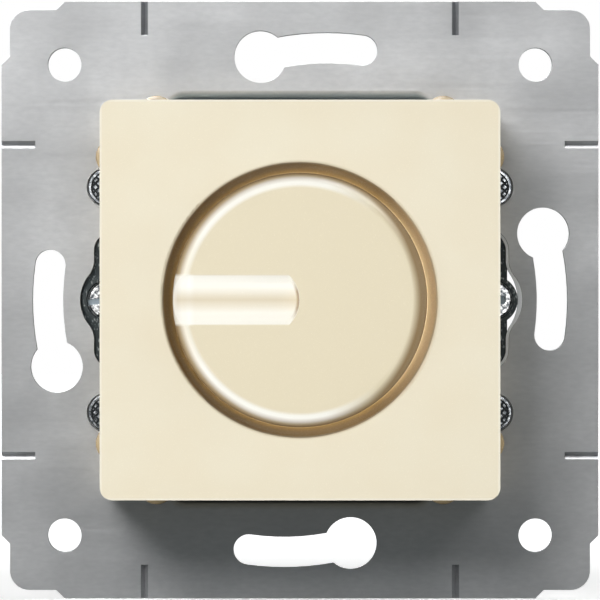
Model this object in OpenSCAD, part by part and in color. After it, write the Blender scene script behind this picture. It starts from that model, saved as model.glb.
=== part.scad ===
// Rotary push dimmer mechanism for a flush wall box.
// Modelled face on (x right, y up, z towards the room) and turned at the end so that +Z is up.
// The origin lies on the knob's axis, in the wall plane at the back of the steel frame.

/* [Mounting frame] */
// Side of the square steel frame
frame_w = 71; // [70:0.5:74]
// Thickness of the frame's sheet
frame_t = 1; // [0.8:0.1:1.2]
// How far each corner is stepped in
corner_step = 1; // [0.6:0.1:1.4]
// Length of a corner step along each side
corner_reach = 7.5; // [6.5:0.5:8]
// Radius of the frame's corners
corner_r = 2.3; // [1.5:0.1:3]
// Diameter of the four corner holes
corner_hole_d = 4; // [3.2:0.1:4.4]
// Distance between neighbouring corner holes
corner_hole_pitch = 56; // [55:0.5:57]
// Circle that the fixing screws of a wall box lie on
keyhole_circle_d = 60; // [59.5:0.5:61]
// Diameter of a keyhole's entry
keyhole_entry_d = 6.2; // [5.8:0.1:6.4]
// Width of a keyhole's slot
keyhole_slot_w = 3.65; // [3.2:0.05:4]
// Angle that a keyhole turns through from entry to end
keyhole_sweep = 23.3; // [20:0.1:25]
// Angle from the middle of a side to the keyhole's entry
keyhole_entry_angle = 15.3; // [14:0.1:16]
// Sideways shift of the top keyhole
keyhole_shift_top = 3.2; // [0:0.1:4]
// Sideways shift of the bottom keyhole
keyhole_shift_bottom = 1.9; // [0:0.1:4]
// Distance between the two pressed marks of a side
mark_pitch = 37; // [35:0.5:39]
// Length of a pressed mark
mark_len = 4; // [3:0.1:5]
// Width of a pressed mark
mark_w = 0.85; // [0.6:0.05:1]

/* [Drawn collar] */
// Width of the frame's opening at the front of its bend
opening_w = 32.6; // [32:0.2:33]
// Height of the frame's opening at the front of its bend
opening_h = 49.8; // [49.4:0.2:50.4]
// Corner radius of the opening
opening_r = 2.6; // [2.4:0.1:3]
// Inner radius of the collar's bend
collar_bend_r = 0.4; // [0.3:0.05:0.5]
// How far the collar reaches behind the wall plane
collar_depth = 2.2; // [1.6:0.1:2.6]

/* [Claw windows] */
// How far the window's outer edge lies past the claw screw's axis
window_past = 1.5; // [1.4:0.1:1.6]
// Room from the claw screw's axis to the window's inner edge
window_room = 3.5; // [3.3:0.1:3.8]
// Height of the window
window_h = 16.2; // [15.6:0.1:16.8]
// Radius of the window's corners
window_r = 2.2; // [1.8:0.1:2.2]
// Radius of the bulge round the screw
bulge_r = 4.8; // [4.6:0.05:5]
// How far the bulge reaches past the claw screw's axis
bulge_past = 3.5; // [3.45:0.05:3.6]
// Radius that blends the bulge into the window's edge
bulge_blend_r = 3; // [2.6:0.1:3.2]
// Width of the step coined round the right window
window_ease = 0.35; // [0.2:0.05:0.4]
// Width of the step at the far side of the right bulge
bulge_ease = 0.55; // [0.5:0.05:0.55]

/* [Cover plate] */
// Side of the square cover
cover_w = 46.6; // [46:0.1:47]
// Height of the cover's face above the frame
cover_rise = 9; // [8.6:0.1:10]
// Corner radius of the cover
cover_corner_r = 1.5; // [1:0.1:2]
// Rounding of the cover's front edge
cover_edge_r = 0.5; // [0.3:0.05:0.8]
// Wall of the cover's skirt
cover_wall = 1.6; // [1.2:0.1:1.8]
// Thickness of the cover's face
cover_face_t = 2; // [1.6:0.1:2.4]
// Rounding of the edge of the knob's well
well_edge_r = 0.35; // [0.2:0.05:0.5]
// Height of the well's floor above the frame
well_floor_rise = 3; // [2.8:0.1:3.2]
// Distance between the two snap bumps of a side
bump_pitch = 34; // [32:0.5:36]
// Radius of a snap bump
bump_r = 2.2; // [1.8:0.1:2.4]
// How far a snap bump stands out
bump_proud = 0.95; // [0.6:0.05:1]

/* [Knob] */
// Diameter of the knob
knob_d = 29.6; // [29:0.1:30]
// Gap between the knob and the mouth of its well
knob_gap = 1.2; // [0.9:0.05:1.4]
// How far the knob's face stands above the cover
knob_proud = 1.7; // [1.5:0.1:2.2]
// Rounding of the knob's rim
knob_edge_r = 1.7; // [1.2:0.1:1.8]
// Wall of the knob's skirt
knob_skirt_t = 1.9; // [1.6:0.1:2.2]
// Thickness of the knob's face
knob_face_t = 2.6; // [2.4:0.1:2.8]
// Width of the finger groove
finger_w = 5.9; // [5:0.1:7]
// Depth of the finger groove
finger_depth = 1.15; // [0.8:0.05:1.3]
// Radius of the groove's inner end, seen from the front
finger_end_r = 4; // [3.8:0.1:4.2]
// How far the groove's inner end leans over its depth
finger_end_lean = 0.35; // [0.3:0.05:0.6]

/* [Control] */
// Diameter of the control shaft
shaft_d = 6; // [5.8:0.1:6.2]
// Travel of the push switch
press_travel = 1.5; // [1:0.1:1.6]
// Diameter of the potentiometer's case
pot_d = 17; // [16.5:0.1:17.5]
// Side of the push switch's case
switch_w = 12; // [11.4:0.1:12.2]
// Depth of the push switch's case behind the potentiometer
switch_depth = 11; // [10.5:0.1:11.6]
// Turns of the switch's return spring
spring_turns = 6; // [4:1:7]

/* [Housing] */
// Thickness of the front deck
deck_t = 4; // [3.8:0.1:4.2]
// Width of the rear housing
housing_w = 42; // [41.6:0.2:42.4]
// Height of the rear housing
housing_h = 44; // [43.6:0.2:44.4]
// Depth of the rear housing behind the deck
housing_depth = 23; // [22.8:0.1:24]
// Wall of the rear housing
housing_wall = 1.6; // [1.5:0.05:1.7]
// Chamfer of the rear housing's corners
housing_chamfer = 6; // [5.4:0.1:6.4]
// Thickness of the circuit board
board_t = 1.6; // [1.4:0.1:1.8]

/* [Claws] */
// Distance of the claw screws from the axis
claw_x = 23; // [22.9:0.05:23.1]
// Diameter of a claw screw's head
claw_head_d = 4.65; // [4.4:0.05:4.7]
// Diameter of a claw screw's thread
claw_thread_d = 3; // [2.8:0.1:3.1]
// Width of a claw
claw_w = 8; // [7:0.1:8.1]
// Sheet thickness of a claw
claw_t = 1; // [0.8:0.05:1.1]

/* [Hidden] */
$fn = 64;

// overlap of a cut past the face that it opens
cut = 1;
// radial clearance of the shaft in its sleeve and in the wiper
run_gap = 0.05;
// clearance between parts that only locate each other
seat_gap = 0.15;
// clearance between parts that move past each other
move_gap = 0.3;
// clearance of parts pushed together by hand
push_gap = 0.03;

// how far the shaft's end reaches into the knob's face
shaft_bite = 0.3;
// overlap of two bodies of one piece that grow into each other
lap = 0.2;

// levels along the knob's axis, from the room inwards
cover_front = frame_t + cover_rise;
cover_back = frame_t + move_gap;
knob_front = cover_front + knob_proud;
well_floor = frame_t + well_floor_rise;
knob_back = well_floor + press_travel + move_gap;
knob_under = knob_front - knob_face_t;
shaft_top = knob_under + shaft_bite;
platform_top = frame_t - seat_gap;
deck_back = -deck_t;
pot_depth = 6.4;
pot_back = deck_back - pot_depth;
board_back = pot_back - board_t;
housing_back = deck_back - housing_depth;

// frame
half_frame = frame_w / 2;
collar_out_r = collar_bend_r + frame_t;
collar_in_w = opening_w - 2 * collar_out_r;
collar_in_h = opening_h - 2 * collar_out_r;
collar_in_r = opening_r - collar_out_r;
// overlap of two arcs that run into each other, so that they cross in a clean point
arc_lap = 0.01;
window_reach = claw_x + window_past;
window_w = window_past + window_room;
bulge_reach = claw_x + bulge_past;
// depth of the step round the right claw window
ease_depth = 0.4;
// how much flatter the right bulge is below the step
bulge_flat = 0.75;
// how much less the left bulge reaches out
left_bulge_in = 0.35;
rivet_tail_d = 3.7;
rivet_tail_h = 0.6;
// the rivets stand just outside the rear housing
rivet_x = housing_w / 2 + seat_gap + rivet_tail_d / 2;
rivet_y = 13.4;
rivet_head_d = 4.4;
rivet_proud = 0.3;
rivet_sink = 0.5;
rivet_d = 3;
rivet_rim = 0.36;
rivet_groove_w = 0.18;
rivet_taper = 0.1;
knurl_w = 0.26;
knurl_pitch = 0.62;
knurl_depth = 0.4;
deck_r = 28.2;
deck_lap = 0.2;
pad_top = 0.4;
ring_top = 0.95;

// cover and knob
knob_r = knob_d / 2;
well_r = knob_r + knob_gap;
well_foot_r = knob_r + move_gap;
bump_lift = 0.6;
bump_h = 2.6;
well_wall = 1.4;
well_floor_t = 1.5;
sleeve_r = 4.6;
leg_x = 9;
leg_y = 18.5;
leg_w = 5;
leg_t = 1.4;
leg_hook = 0.7;
leg_hook_h = 1.6;
hook_flat = 0.4;

// shaft, potentiometer and switch
shaft_r = shaft_d / 2;
shaft_flat = 2.2;
tail_r = 2.5;
tail_flat = 1.8;
hub_r = 4.8;
rib_t = 1;
rib_h = 1.6;
ring_wire_d = 0.8;
pot_wall = 0.5;
pot_in_r = pot_d / 2 - pot_wall;
wafer_t = 0.9;
wafer_front = deck_back - pot_wall;
wafer_back = wafer_front - wafer_t;
rotor_gap = 1.2;
rotor_front = wafer_back - rotor_gap;
rotor_t = 2.2;
rotor_r = 6.6;
track_r = 5.4;
leaf_t = 0.3;
switch_lid_t = 0.8;
switch_wall = 1;
slider_front = pot_back - run_gap;
slider_flange_t = 1.5;
switch_back = pot_back - switch_depth;
spring_r = 3;
spring_wire_r = 0.35;
tag_t = 0.4;
tag_w = 0.9;
tag_past = 0.8;
tag_pitch = 3;
tongue_w = 9;
tongue_past = 1;
gate_reach = 2;
tag_y = -pot_d / 2 - tongue_past - tag_t / 2;
leaf_w = 1.8;
leaf_ring = 1.1;
leaf_gap = 0.3;
dimple_r = 0.6;
slider_stem_l = 4.2;
switch_tag_y = 3;
switch_tag_x = 1.6;
switch_tag_drop = 1.8;

// housing and board
in_w = housing_w - 2 * housing_wall;
in_h = housing_h - 2 * housing_wall;
bay_x = 16.8;
bay_h = 11;
floor_t = 1.8;
vent_w = 1.2;
vent_len = 9;
vent_pitch = 2.8;
vent_pos = [3.2, 6.5];
snap_y = (bay_h / 2 + housing_wall + housing_h / 2 - housing_chamfer) / 2;
snap_w = 5;
snap_t = 1.2;
snap_len = 5.6;
snap_hook = 1.2;
snap_hook_h = 1.6;
post_inset = [3.2, 4.7];
post_x = in_w / 2 - post_inset.x;
post_y = in_h / 2 - post_inset.y;
post_r = 1.5;

// terminals
terminal_pitch = 9;
terminal_gap = 0.1;
terminal_w = terminal_pitch - terminal_gap;
// fuse between the switch and the terminals
fuse_len = 20;
fuse_r = 2.6;
fuse_gap = 0.5;
clip_w = 4;
clip_t = 0.4;
fuse_room = 2 * (fuse_r + clip_t + fuse_gap);
fuse_y = -switch_w / 2 - fuse_room / 2;
terminal_top = -switch_w / 2 - fuse_room;
terminal_step = -housing_h / 2 + housing_wall + seat_gap;
terminal_drop = 11;
terminal_wall = 1.05;
wire_depth = 7;
wire_z = housing_back + wire_depth;
wire_r = 1.5;
clamp_h = 6;
clamp_w = 4.6;
cage_w = clamp_w + 2 * seat_gap;
terminal_axis_y = terminal_top - terminal_wall - cage_w / 2;
terminal_screw_r = 1.9;
terminal_thread_r = 1.4;
terminal_sink = 0.6;
clamp_gap = 0.1;

// claws
pivot_x = 18.6;
pivot_drop = 4.2;
pivot_z = deck_back - pivot_drop;
pin_r = 0.75;
knuckle_r = 1.4;
ear_t = 1;
ear_gap = 0.1;
claw_slot_gap = 0.1;
claw_slot_r = claw_thread_d / 2 + claw_slot_gap;
claw_slot_in = claw_x - pivot_x - claw_slot_gap / 2;
claw_slot_len = 0.9;
claw_eye_r = 2.2;
claw_tail_rise = 4;
claw_tail_z = housing_back + claw_tail_rise;
claw_tip_x = 22.9;
claw_tip_drop = 1.8;
claw_teeth = 3;
claw_bite = 1.2;
screw_seat = -0.8;
screw_head_h = 1.5;
screw_edge = 0.3;
cross_len = 3.1;
cross_w = 1.1;
left_screw_angle = 98;
screw_past = 4.4;
screw_end = pivot_z - screw_past;
collar_ring_r = 2.9;

// parts on the back of the board
part_gap = 1;
cap_size = [7, 12.4, 9];
cap_x = -switch_w / 2 - switch_tag_x - move_gap - cap_size.x / 2;
winding_t = 0.9;
cap_edge_r = 0.6;
sink_w = 10.4;
sink_l = 16;
sink_t = 2;
sink_gap = 0.8;
triac_pos = [post_x - post_r - move_gap - sink_l / 2, in_h / 2 - sink_gap - sink_w / 2];
choke_core_r = 3.7;
choke_bore_r = 2;
choke_h = 5;
choke_out_r = choke_core_r + winding_t;
choke_pos = [triac_pos.x - sink_l / 2 - move_gap - choke_out_r,
    cap_size.y / 2 + part_gap + choke_out_r];
triac_w = 9.8;
triac_body_l = 9;
triac_tab_l = 6.4;
triac_t = 4.4;
triac_tab_t = 1.3;
triac_screw_r = 1.5;
triac_head_r = 2.7;
triac_head_h = 1.8;
nut_d = 5.8;
nut_h = 1.8;
slot_w = 0.7;
slot_depth = 0.9;
fuse_cap_l = 5;
fuse_cap_t = 0.3;
fuse_end_t = 1;
fuse_lift = 1;
fuse_z = board_back - fuse_lift - clip_t - fuse_r;
resistor_pos = [9.2, 2.2];
resistor_pitch = 3.6;
resistor_r = 1.2;
resistor_l = 6.4;
diode_pos = [10.9, -5.2];
diode_r = 0.95;
diode_l = 4;
lead_r = 0.3;
lead_past = 1;

ivory = [0.93, 0.89, 0.78];
slate = [0.19, 0.22, 0.23];
steel = [0.74, 0.75, 0.76];
brass = [0.76, 0.62, 0.32];

// turns the face-on model to stand on a wall that faces -Y
module on_wall() {
    rotate([90, 0, 0])
        children();
}

module slab(z0, z1) {
    translate([0, 0, z0])
        linear_extrude(z1 - z0)
            children();
}

module mirrored_x() {
    children();
    mirror([1, 0, 0])
        children();
}

module quarters() {
    for (k = [0 : 3])
        rotate([0, 0, -90 * k])
            children();
}

module at_corners(x, y) {
    for (sx = [-1, 1], sy = [-1, 1])
        translate([sx * x, sy * y, 0])
            children();
}

module rounded_square(w, h, r) {
    square([w - 2 * r, h], center = true);
    square([w, h - 2 * r], center = true);
    at_corners(w / 2 - r, h / 2 - r)
        circle(r);
}

module chamfered_square(w, h, c) {
    x = w / 2;
    y = h / 2;
    polygon([[x, c - y], [x, y - c], [x - c, y], [c - x, y], [-x, y - c], [-x, c - y],
        [c - x, -y], [x - c, -y]]);
}

// a circle with one flat, the flat on the right
module flatted(r, flat) {
    intersection() {
        circle(r);
        translate([flat - 2 * r, -r])
            square(2 * r);
    }
}

// a strip between two points of the x-z plane, w wide along y
module strip(a, b, t, w) {
    d = b - a;
    translate([a.x, 0, a.y])
        rotate([0, -atan2(d.y, d.x), 0])
            translate([0, -w / 2, -t / 2])
                cube([norm(d), w, t]);
}

module frame_outline() {
    straight = half_frame - corner_reach;
    inner = half_frame - corner_step;
    rounded_square(2 * inner, 2 * inner, corner_r);
    for (a = [0, 90])
        rotate(a)
            polygon([[straight, half_frame], [straight + corner_step, inner],
                [straight + corner_step, -inner], [straight, -half_frame],
                [-straight, -half_frame], [-straight - corner_step, -inner],
                [-straight - corner_step, inner], [-straight, half_frame]]);
}

// the keyhole of the top side, cut through the sheet
module keyhole() {
    r = keyhole_circle_d / 2;
    h = frame_t + 2 * cut;
    end = 90 + keyhole_entry_angle - keyhole_sweep;
    translate([0, 0, -cut]) {
        rotate([0, 0, 90 + keyhole_entry_angle])
            translate([r, 0, 0])
                cylinder(h, d = keyhole_entry_d);
        rotate([0, 0, end])
            translate([r, 0, 0])
                cylinder(h, d = keyhole_slot_w);
        rotate([0, 0, end])
            rotate_extrude(angle = keyhole_sweep)
                translate([r - keyhole_slot_w / 2, 0])
                    square([keyhole_slot_w, h]);
    }
}

module keyholes() {
    translate([keyhole_shift_top, 0, 0])
        keyhole();
    translate([-keyhole_shift_bottom, 0, 0])
        rotate([0, 0, 180])
            keyhole();
    for (a = [-90, 90])
        rotate([0, 0, a])
            keyhole();
}

// a claw window of the right side: its edge lies at x = edge and its bulge of radius r ends at x = far
module window_outline(edge, far, r) {
    bulge_x = far - r;
    blend_x = edge + bulge_blend_r - arc_lap;
    reach = r + bulge_blend_r - arc_lap;
    blend_y = sqrt(reach * reach - (blend_x - bulge_x) * (blend_x - bulge_x));
    touch_x = bulge_x + (blend_x - bulge_x) * (r - arc_lap / 2) / reach;
    grow = edge - window_reach;
    translate([edge - grow - window_w / 2, 0])
        rounded_square(window_w + 2 * grow, window_h + 2 * grow, window_r + grow);
    intersection() {
        translate([bulge_x, 0])
            circle(r);
        translate([window_reach - window_w / 2, -r])
            square(2 * r);
    }
    difference() {
        translate([window_reach - window_w / 2, -blend_y])
            square([touch_x - window_reach + window_w / 2, 2 * blend_y]);
        for (s = [-1, 1])
            translate([blend_x, s * blend_y])
                circle(bulge_blend_r);
    }
}

// section of the drawn collar, with the inside of its wall at x = 0
module collar_section() {
    translate([0, -collar_depth])
        square([frame_t, collar_depth - collar_bend_r]);
    translate([collar_out_r, -collar_bend_r])
        intersection() {
            difference() {
                circle(collar_out_r);
                circle(collar_bend_r);
            }
            translate([-collar_out_r, 0])
                square(collar_out_r);
        }
}

module collar_side(from_axis, len) {
    translate([from_axis, len / 2, 0])
        rotate([90, 0, 0])
            linear_extrude(len)
                collar_section();
}

module collar() {
    w = collar_in_w / 2;
    h = collar_in_h / 2;
    for (a = [0, 180])
        rotate([0, 0, a]) {
            collar_side(w, 2 * (h - collar_in_r));
            rotate([0, 0, 90])
                collar_side(h, 2 * (w - collar_in_r));
        }
    for (sx = [0, 1], sy = [0, 1])
        mirror([sx, 0, 0])
            mirror([0, sy, 0])
                translate([w - collar_in_r, h - collar_in_r, 0])
                    rotate_extrude(angle = 90)
                        translate([collar_in_r, 0])
                            collar_section();
}

module pressed_mark() {
    side = mark_w * cos(45);
    translate([0, half_frame - mark_len, frame_t])
        rotate([0, 45, 0])
            translate([-side / 2, 0, -side / 2])
                cube([side, mark_len + cut, side]);
}

module mounting_frame() {
    color(steel)
        on_wall() {
            difference() {
                slab(0, frame_t)
                    difference() {
                        frame_outline();
                        rounded_square(opening_w, opening_h, opening_r);
                        window_outline(window_reach, bulge_reach - bulge_ease, bulge_r + bulge_flat);
                        mirror([1, 0])
                            window_outline(window_reach, bulge_reach - left_bulge_in, bulge_r);
                        at_corners(corner_hole_pitch / 2, corner_hole_pitch / 2)
                            circle(d = corner_hole_d);
                        at_corners(rivet_x, rivet_y)
                            circle(d = rivet_d + 2 * seat_gap);
                    }
                slab(frame_t - ease_depth, frame_t + cut)
                    window_outline(window_reach + window_ease, bulge_reach, bulge_r);
                slab(frame_t - rivet_sink, frame_t + cut)
                    at_corners(rivet_x, rivet_y)
                        circle(d = rivet_head_d + 2 * seat_gap);
                keyholes();
                quarters()
                    for (s = [-1, 1])
                        translate([s * mark_pitch / 2, 0, 0])
                            pressed_mark();
            }
            collar();
        }
}

// a rivet with a flat rim and a knurled middle, formed over behind the deck
module rivet() {
    head_r = rivet_head_d / 2;
    rim_r = head_r - rivet_rim;
    knurl_r = rim_r - rivet_groove_w;
    head_h = rivet_sink + rivet_proud;
    slab(deck_back - lap, frame_t - rivet_sink + lap)
        circle(d = rivet_d);
    slab(deck_back - rivet_tail_h, deck_back)
        circle(d = rivet_tail_d);
    translate([0, 0, frame_t - rivet_sink])
        difference() {
            cylinder(head_h, head_r, head_r - rivet_taper);
            slab(head_h - knurl_depth, head_h + cut) {
                difference() {
                    circle(rim_r);
                    circle(knurl_r);
                }
                intersection() {
                    circle(rim_r - rivet_groove_w / 2);
                    union()
                        for (a = [45, 135])
                            rotate(a)
                                for (k = [-3 : 3])
                                    translate([k * knurl_pitch, 0])
                                        square([knurl_w, rivet_head_d], center = true);
                }
            }
        }
}

module deck_rivets() {
    color(steel)
        on_wall()
            at_corners(rivet_x, rivet_y)
                rivet();
}

module deck_outline() {
    intersection() {
        circle(deck_r);
        square([2 * (window_reach + deck_lap), collar_in_h - 2 * seat_gap], center = true);
    }
    at_corners(rivet_x, rivet_y)
        circle(d = rivet_head_d);
    // tab that closes the bulge of the left window from behind
    translate([-bulge_reach - deck_lap, -bulge_r])
        square([bulge_reach, 2 * bulge_r]);
}

// hinge ears of the right claw, under the deck
module claw_ears() {
    for (s = [-1, 1])
        translate([pivot_x, s * (claw_w / 2 + ear_gap + ear_t / 2), pivot_z])
            rotate([90, 0, 0])
                slab(-ear_t / 2, ear_t / 2)
                    difference() {
                        union() {
                            circle(knuckle_r);
                            translate([-knuckle_r, 0])
                                square([2 * knuckle_r, deck_back - pivot_z + cut]);
                        }
                        circle(pin_r);
                    }
}

// spring tab that latches the rear housing, at the right-hand wall
module snap_tab() {
    x = in_w / 2 - seat_gap;
    translate([x - snap_t, -snap_w / 2, deck_back - snap_len])
        cube([snap_t, snap_w, snap_len + cut]);
    translate([x - snap_t, snap_w / 2, deck_back - snap_len])
        rotate([90, 0, 0])
            linear_extrude(snap_w)
                polygon([[0, 0], [snap_t, 0], [snap_t + snap_hook, snap_hook_h - hook_flat],
                    [snap_t + snap_hook, snap_hook_h], [0, snap_hook_h]]);
}

module front_deck() {
    pad_w = window_w - 2 * seat_gap;
    color(slate)
        on_wall()
            difference() {
                union() {
                    slab(deck_back, 0)
                        deck_outline();
                    slab(-cut, platform_top)
                        rounded_square(collar_in_w - 2 * seat_gap, collar_in_h - 2 * seat_gap,
                            collar_in_r);
                    translate([0, 0, deck_back])
                        cylinder(well_floor - deck_back, r = sleeve_r);
                    at_corners(post_x, post_y)
                        translate([0, 0, pot_back])
                            cylinder(pot_depth + cut, r = post_r);
                    for (s = [-1, 1])
                        translate([0, s * snap_y, 0])
                            mirrored_x()
                                snap_tab();
                    mirrored_x() {
                        slab(-cut, pad_top)
                            translate([window_reach - window_w / 2, 0])
                                rounded_square(pad_w, window_h - 2 * seat_gap,
                                    window_r - seat_gap);
                        translate([claw_x, 0, deck_back])
                            cylinder(ring_top - deck_back, r = collar_ring_r);
                        claw_ears();
                    }
                }
                slab(-collar_depth - seat_gap, cut)
                    difference() {
                        rounded_square(collar_in_w + 2 * (frame_t + collar_bend_r),
                            collar_in_h + 2 * cut, collar_in_r + frame_t);
                        rounded_square(collar_in_w - 2 * seat_gap, collar_in_h - 2 * seat_gap,
                            collar_in_r);
                    }
                translate([0, 0, deck_back - cut])
                    cylinder(well_floor - deck_back + 2 * cut, r = shaft_r + run_gap);
                at_corners(rivet_x, rivet_y)
                    slab(deck_back - cut, cut)
                        circle(d = rivet_d + 2 * push_gap);
                at_corners(leg_x, leg_y)
                    slab(deck_back - cut, frame_t + cut)
                        translate([0, seat_gap])
                            square([leg_w + 2 * seat_gap, leg_t + 4 * seat_gap], center = true);
                mirrored_x()
                    translate([claw_x, 0, 0]) {
                        slab(deck_back - cut, cut)
                            circle(d = claw_thread_d + 2 * seat_gap);
                        slab(screw_seat, ring_top + cut)
                            circle(d = claw_head_d + 2 * ear_gap);
                    }
            }
}

module housing_outline(inset) {
    difference() {
        chamfered_square(housing_w - 2 * inset, housing_h - 2 * inset,
            housing_chamfer - inset * (2 - sqrt(2)));
        mirrored_x()
            translate([bay_x - inset, -bay_h / 2 - inset])
                square([housing_w, bay_h + 2 * inset]);
    }
}

module rear_housing() {
    window = snap_w + 4 * seat_gap;
    notch_w = 3 * terminal_pitch + 2 * terminal_gap;
    color(slate)
        on_wall()
            difference() {
                union() {
                    difference() {
                        slab(housing_back, deck_back)
                            housing_outline(0);
                        slab(housing_back + floor_t, deck_back + cut)
                            housing_outline(housing_wall);
                    }
                    // posts that hold the board against the deck
                    at_corners(post_x, post_y)
                        translate([0, 0, housing_back + floor_t / 2])
                            cylinder(board_back - housing_back - floor_t / 2, r = post_r);
                }
                // windows of the spring tabs
                for (s = [-1, 1])
                    translate([0, s * snap_y, deck_back - snap_len - 2 * seat_gap])
                        mirrored_x()
                            translate([in_w / 2 - cut, -window / 2, 0])
                                cube([housing_wall + 2 * cut, window, snap_hook_h + 3 * seat_gap]);
                // terminals open to the back and to the bottom
                slab(housing_back - cut, housing_back + terminal_drop + seat_gap)
                    translate([-notch_w / 2, -housing_h / 2 - cut])
                        square([notch_w, terminal_top + housing_h / 2 + cut + seat_gap]);
                for (k = [-3 : 3])
                    translate([vent_pos.x + k * vent_pitch, vent_pos.y, housing_back - cut])
                        slab(0, floor_t + 2 * cut)
                            rounded_square(vent_w, vent_len, vent_w / 2 - arc_lap);
            }
}

// outline with rounded front edges, seen along the side of the cover
module soft_front(w, z0, z1, r) {
    translate([-w / 2, z0])
        square([w, z1 - z0 - r]);
    translate([-w / 2 + r, z0])
        square([w - 2 * r, z1 - z0]);
    for (s = [-1, 1])
        translate([s * (w / 2 - r), z1 - r])
            circle(r);
}

// a snap bump: a ramp that a clipped-on bezel slides over
module cover_bump() {
    translate([0, cover_w / 2 + bump_proud - bump_r, cover_back + bump_lift])
        cylinder(bump_h, bump_r, bump_r - bump_proud - lap);
}

module cover_leg() {
    end = deck_back - leg_hook_h - run_gap;
    translate([-leg_w / 2, leg_y - leg_t / 2, end])
        cube([leg_w, leg_t, cover_front - cover_face_t / 2 - end]);
    translate([-leg_w / 2, leg_y + leg_t / 2, end])
        rotate([90, 0, 90])
            linear_extrude(leg_w)
                polygon([[0, 0], [leg_hook, leg_hook_h - hook_flat], [leg_hook, leg_hook_h],
                    [0, leg_hook_h]]);
}

module cover_plate() {
    in = cover_w - 2 * cover_wall;
    color(ivory)
        on_wall()
            difference() {
                union() {
                    difference() {
                        intersection() {
                            slab(cover_back, cover_front)
                                rounded_square(cover_w, cover_w, cover_corner_r);
                            for (a = [0, 90])
                                rotate([0, 0, a])
                                    rotate([90, 0, 0])
                                        slab(-cover_w, cover_w)
                                            soft_front(cover_w, cover_back, cover_front,
                                                cover_edge_r);
                        }
                        slab(cover_back - cut, cover_front - cover_face_t)
                            square(in, center = true);
                    }
                    translate([0, 0, well_floor - well_floor_t])
                        cylinder(cover_front - cover_face_t / 2 - well_floor + well_floor_t,
                            r = well_r + well_wall);
                    quarters()
                        for (s = [-1, 1])
                            translate([s * bump_pitch / 2, 0, 0])
                                intersection() {
                                    cover_bump();
                                    translate([-bump_r, cover_w / 2 - cover_wall / 2, 0])
                                        cube([2 * bump_r, 2 * bump_r, cover_front]);
                                }
                    mirrored_x()
                        for (m = [0, 1])
                            mirror([0, m, 0])
                                translate([leg_x, 0, 0])
                                    cover_leg();
                }
                translate([0, 0, well_floor])
                    cylinder(cover_front - well_edge_r - well_floor, well_foot_r, well_r);
                translate([0, 0, cover_front - well_edge_r])
                    rotate_extrude()
                        difference() {
                            square([well_r + well_edge_r, well_edge_r + cut]);
                            translate([well_r + well_edge_r, 0])
                                circle(well_edge_r);
                        }
                translate([0, 0, cover_back])
                    cylinder(well_floor, r = sleeve_r + 2 * seat_gap);
                at_corners(rivet_x, rivet_y)
                    slab(0, frame_t + rivet_proud + seat_gap)
                        circle(rivet_head_d / 2 + seat_gap);
            }
}

// shape that the finger groove takes out of the knob's face, pointing left
module finger_groove() {
    r = (finger_w * finger_w / 4 + finger_depth * finger_depth) / (2 * finger_depth);
    lean = cut * finger_end_lean / finger_depth;
    intersection() {
        translate([-knob_r - cut, 0, knob_front - finger_depth + r])
            rotate([0, 90, 0])
                cylinder(knob_r + 2 * cut, r = r);
        union() {
            translate([-knob_r - cut, -r, knob_front - finger_depth - cut])
                cube([knob_r + cut - finger_end_r, 2 * r, 2 * r]);
            translate([-finger_end_r, 0, knob_front - finger_depth - cut])
                cylinder(finger_depth + 2 * cut, finger_end_r - finger_end_lean - lean,
                    finger_end_r + lean);
        }
    }
}

module knob_section() {
    translate([0, knob_under])
        square([knob_r - knob_edge_r, knob_face_t]);
    translate([knob_r - knob_skirt_t, knob_back])
        square([knob_skirt_t, knob_front - knob_edge_r - knob_back]);
    intersection() {
        translate([knob_r - knob_edge_r, knob_front - knob_edge_r])
            circle(knob_edge_r);
        translate([knob_r - knob_skirt_t - knob_edge_r, knob_under])
            square([2 * knob_r, knob_face_t]);
    }
    translate([0, knob_back])
        square([hub_r, knob_under - knob_back + lap]);
}

module knob() {
    color(ivory)
        on_wall()
            difference() {
                union() {
                    rotate_extrude()
                        knob_section();
                    for (k = [0 : 5])
                        rotate([0, 0, 60 * k + 30])
                            translate([hub_r - lap, -rib_t / 2, knob_under - rib_h])
                                cube([knob_r - hub_r - knob_skirt_t / 2, rib_t, rib_h + lap]);
                }
                finger_groove();
                slab(knob_back - cut, shaft_top + seat_gap)
                    flatted(shaft_r + push_gap, shaft_flat + push_gap);
                translate([0, 0, knob_back + ring_wire_d])
                    rotate_extrude()
                        translate([hub_r, 0])
                            circle(d = ring_wire_d);
            }
}

// split spring ring in the groove of the knob's hub
module hub_ring() {
    color(steel)
        on_wall()
            translate([0, 0, knob_back + ring_wire_d])
                rotate([0, 0, 15])
                    rotate_extrude(angle = 330)
                        translate([hub_r, 0])
                            circle(d = ring_wire_d);
}

module control_shaft() {
    shoulder = deck_back + press_travel;
    color([0.86, 0.86, 0.82])
        on_wall() {
            slab(shoulder, knob_back)
                circle(shaft_r);
            slab(knob_back, shaft_top)
                flatted(shaft_r, shaft_flat);
            slab(slider_front, shoulder)
                flatted(tail_r, tail_flat);
        }
}

module pot_case() {
    color(steel)
        on_wall()
            difference() {
                translate([0, 0, pot_back])
                    cylinder(pot_depth, d = pot_d);
                translate([0, 0, pot_back - cut])
                    cylinder(pot_depth - pot_wall + cut, r = pot_in_r);
                translate([0, 0, pot_back])
                    cylinder(pot_depth + cut, r = shaft_r + seat_gap);
                // gate for the solder tags
                translate([-tongue_w / 2 - 2 * seat_gap, -pot_d, pot_back - cut])
                    cube([tongue_w + 4 * seat_gap, pot_d / 2 + gate_reach, pot_depth - pot_wall + cut]);
            }
}

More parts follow.
